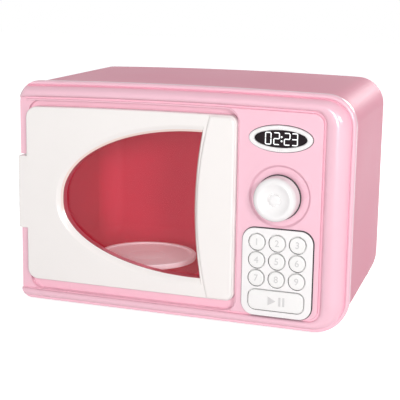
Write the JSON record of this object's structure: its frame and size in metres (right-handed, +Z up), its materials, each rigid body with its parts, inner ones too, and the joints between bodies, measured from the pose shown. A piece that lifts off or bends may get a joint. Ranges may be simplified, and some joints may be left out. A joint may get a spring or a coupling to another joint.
{
  "type": "toy microwave oven",
  "caption": "Play microwave with a side-hinged door with a tinted window, a turntable, a dish-faced knob, push keys and a display window.",
  "frame": {"origin": "centre of the bounding box in plan, at the undersides of the feet", "axes": "+X to the right as seen from the front, +Y to the back, +Z up; the door and knob face -Y"},
  "size_m": [0.24, 0.1352, 0.1638],
  "materials": {
    "pink_shell": "gloss",
    "white_plastic": "gloss",
    "liner_plastic": "satin",
    "tinted_lens": "clear gloss",
    "plate_plastic": "gloss",
    "display_black": "gloss",
    "grey_plastic": "matte",
    "black_plastic": "matte",
    "gear_plastic": "matte",
    "lamp_clear": "clear gloss",
    "board_green": "matte",
    "mat_rubber": "matte",
    "foot_rubber": "matte",
    "pinion_brass": "machined",
    "motor_steel": "brushed",
    "screw_steel": "plated",
    "contact_steel": "plated",
    "cell_wrap": "satin",
    "speaker_cone": "matte"
  },
  "bodies": {
    "case": {"front_shell": "pink_shell", "rear_shell": "pink_shell", "battery_cover": "pink_shell", "display_bezel": "white_plastic", "keypad_plate": "white_plastic", "cavity_liner": "liner_plastic", "display_window": "display_black", "display_module": "grey_plastic", "knob_switch": "grey_plastic", "battery_box": "grey_plastic", "switch_body": "grey_plastic", "door_catch": "grey_plastic", "cavity_lamp": "lamp_clear", "control_board": "board_green", "key_mat": "mat_rubber", "foot_1": "foot_rubber", "foot_2": "foot_rubber", "foot_3": "foot_rubber", "foot_4": "foot_rubber", "drive_motor": "motor_steel", "hinge_pin_upper": "motor_steel", "hinge_pin_lower": "motor_steel", "case_screw_1": "screw_steel", "case_screw_2": "screw_steel", "case_screw_3": "screw_steel", "case_screw_4": "screw_steel", "battery_cover_screw": "screw_steel", "contact_negative": "contact_steel", "contact_positive": "contact_steel", "contact_bridge_lower": "contact_steel", "contact_bridge_upper": "contact_steel", "battery_1": "cell_wrap", "battery_2": "cell_wrap", "battery_3": "cell_wrap", "speaker": "speaker_cone"},
    "door": {"door_panel": "white_plastic", "door_back_frame": "white_plastic", "door_window": "tinted_lens", "door_screw_1": "screw_steel", "door_screw_2": "screw_steel", "door_screw_3": "screw_steel", "door_screw_4": "screw_steel"},
    "knob": {"knob": "white_plastic", "knob_shaft": "motor_steel"},
    "key_1": {"key_1": "white_plastic"},
    "key_2": {"key_2": "white_plastic"},
    "key_3": {"key_3": "white_plastic"},
    "key_4": {"key_4": "white_plastic"},
    "key_5": {"key_5": "white_plastic"},
    "key_6": {"key_6": "white_plastic"},
    "key_7": {"key_7": "white_plastic"},
    "key_8": {"key_8": "white_plastic"},
    "key_9": {"key_9": "white_plastic"},
    "start_key": {"start_key": "white_plastic"},
    "turntable": {"turntable_plate": "plate_plastic", "drive_gear": "gear_plastic"},
    "motor_pinion": {"motor_pinion": "pinion_brass"},
    "power_switch": {"switch_slider": "black_plastic"}
  },
  "joints": [
    {"name": "door_hinge", "type": "hinge", "parent": "case", "child": "door", "pos_m": [-0.1164, -0.04635, 0.0805], "axis": [0, 0, -1], "range_deg": [0, 105]},
    {"name": "knob_turn", "type": "hinge", "parent": "case", "child": "knob", "pos_m": [0.0717, -0.05895, 0.0915], "axis": [0, -1, 0], "continuous": true},
    {"name": "key_1_press", "type": "slide", "parent": "case", "child": "key_1", "axis": [0, 1, 0], "range_m": [0, 0.0012], "stiffness_N_per_m": 400, "springref_m": -0.0005},
    {"name": "key_2_press", "type": "slide", "parent": "case", "child": "key_2", "axis": [0, 1, 0], "range_m": [0, 0.0012], "stiffness_N_per_m": 400, "springref_m": -0.0005},
    {"name": "key_3_press", "type": "slide", "parent": "case", "child": "key_3", "axis": [0, 1, 0], "range_m": [0, 0.0012], "stiffness_N_per_m": 400, "springref_m": -0.0005},
    {"name": "key_4_press", "type": "slide", "parent": "case", "child": "key_4", "axis": [0, 1, 0], "range_m": [0, 0.0012], "stiffness_N_per_m": 400, "springref_m": -0.0005},
    {"name": "key_5_press", "type": "slide", "parent": "case", "child": "key_5", "axis": [0, 1, 0], "range_m": [0, 0.0012], "stiffness_N_per_m": 400, "springref_m": -0.0005},
    {"name": "key_6_press", "type": "slide", "parent": "case", "child": "key_6", "axis": [0, 1, 0], "range_m": [0, 0.0012], "stiffness_N_per_m": 400, "springref_m": -0.0005},
    {"name": "key_7_press", "type": "slide", "parent": "case", "child": "key_7", "axis": [0, 1, 0], "range_m": [0, 0.0012], "stiffness_N_per_m": 400, "springref_m": -0.0005},
    {"name": "key_8_press", "type": "slide", "parent": "case", "child": "key_8", "axis": [0, 1, 0], "range_m": [0, 0.0012], "stiffness_N_per_m": 400, "springref_m": -0.0005},
    {"name": "key_9_press", "type": "slide", "parent": "case", "child": "key_9", "axis": [0, 1, 0], "range_m": [0, 0.0012], "stiffness_N_per_m": 400, "springref_m": -0.0005},
    {"name": "start_key_press", "type": "slide", "parent": "case", "child": "start_key", "axis": [0, 1, 0], "range_m": [0, 0.0012], "stiffness_N_per_m": 400, "springref_m": -0.0005},
    {"name": "turntable_spin", "type": "hinge", "parent": "case", "child": "turntable", "pos_m": [-0.04135, -0.00295, 0.0225], "axis": [0, 0, 1], "continuous": true},
    {"name": "pinion_spin", "type": "hinge", "parent": "case", "child": "motor_pinion", "pos_m": [-0.01635, -0.00295, 0.0205], "axis": [0, 0, 1], "continuous": true},
    {"name": "switch_slide", "type": "slide", "parent": "case", "child": "power_switch", "axis": [1, 0, 0], "range_m": [0, 0.004]}
  ],
  "couplings": [
    {"joint": "pinion_spin", "follows": "turntable_spin", "ratio": -4}
  ]
}
